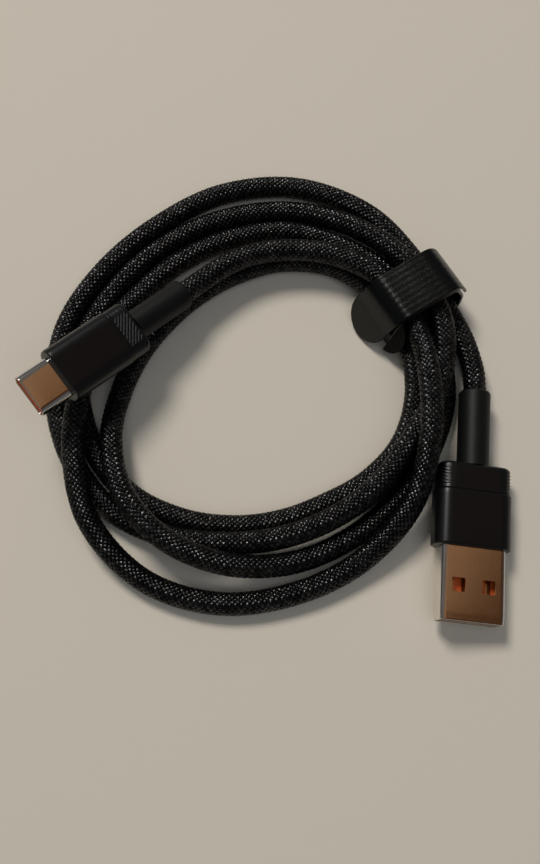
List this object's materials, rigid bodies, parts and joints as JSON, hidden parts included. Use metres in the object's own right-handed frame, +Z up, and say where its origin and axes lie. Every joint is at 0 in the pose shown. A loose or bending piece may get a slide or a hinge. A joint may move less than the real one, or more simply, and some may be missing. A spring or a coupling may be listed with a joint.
{
  "type": "charging cable",
  "caption": "USB-A to USB-C charging cable in black braid, wound in a coil and held by a hook-and-loop tie.",
  "frame": {"origin": "on the table, under the middle of the box round the two plugs and the tie", "axes": "+Z up from the table, +X towards the USB-A plug's side, -Y the way the USB-A plug points"},
  "size_m": [0.0901, 0.0914, 0.0191],
  "materials": {
    "plated_steel": "polished",
    "orange_plastic": "satin",
    "gold_contact": "polished",
    "circuit_board": "satin",
    "component_black": "satin",
    "white_plastic": "satin",
    "black_housing": "satin",
    "black_elastomer": "matte",
    "black_braid": "matte",
    "red_insulation": "satin",
    "green_insulation": "satin",
    "tie_fabric": "matte",
    "tie_hooks": "matte",
    "tie_tab": "matte"
  },
  "bodies": {
    "cable": {"usb_a_shell": "plated_steel", "usb_a_tongue": "orange_plastic", "usb_a_contact_power": "gold_contact", "usb_a_contact_data_minus": "gold_contact", "usb_a_contact_data_plus": "gold_contact", "usb_a_contact_ground": "gold_contact", "usb_a_circuit_board": "circuit_board", "usb_a_resistor": "component_black", "usb_a_inner_mould": "white_plastic", "usb_a_housing": "black_housing", "usb_a_rear_collar": "black_housing", "usb_a_strain_relief": "black_elastomer", "usb_c_shell": "plated_steel", "usb_c_insulator": "orange_plastic", "usb_c_contacts_upper": "gold_contact", "usb_c_contacts_lower": "gold_contact", "usb_c_latch": "plated_steel", "usb_c_ground_springs": "plated_steel", "usb_c_circuit_board": "circuit_board", "usb_c_chip": "component_black", "usb_c_inner_mould": "white_plastic", "usb_c_housing": "black_housing", "usb_c_rear_collar": "black_housing", "usb_c_strain_relief": "black_elastomer", "cable_braid": "black_braid", "cable_jacket": "black_elastomer", "power_wire": "red_insulation", "ground_wire": "black_elastomer", "data_plus_wire": "green_insulation", "data_minus_wire": "white_plastic", "tie_band": "tie_fabric", "tie_head": "tie_fabric"},
    "tie_flap_body": {"tie_flap": "tie_fabric", "tie_hook_pad": "tie_hooks"},
    "tie_pull_body": {"tie_pull_strip": "tie_fabric", "tie_pull_tab": "tie_tab"}
  },
  "joints": [
    {"name": "tie_flap_peel", "type": "hinge", "parent": "cable", "child": "tie_flap_body", "pos_m": [0.03302, 0.03024, 0.01105], "axis": [-0.5299, 0.848, 0], "range_deg": [0, 110]},
    {"name": "tie_pull_lift", "type": "hinge", "parent": "tie_flap_body", "child": "tie_pull_body", "pos_m": [0.02378, 0.02446, 0.01105], "axis": [-0.5299, 0.848, 0], "range_deg": [0, 75]}
  ]
}
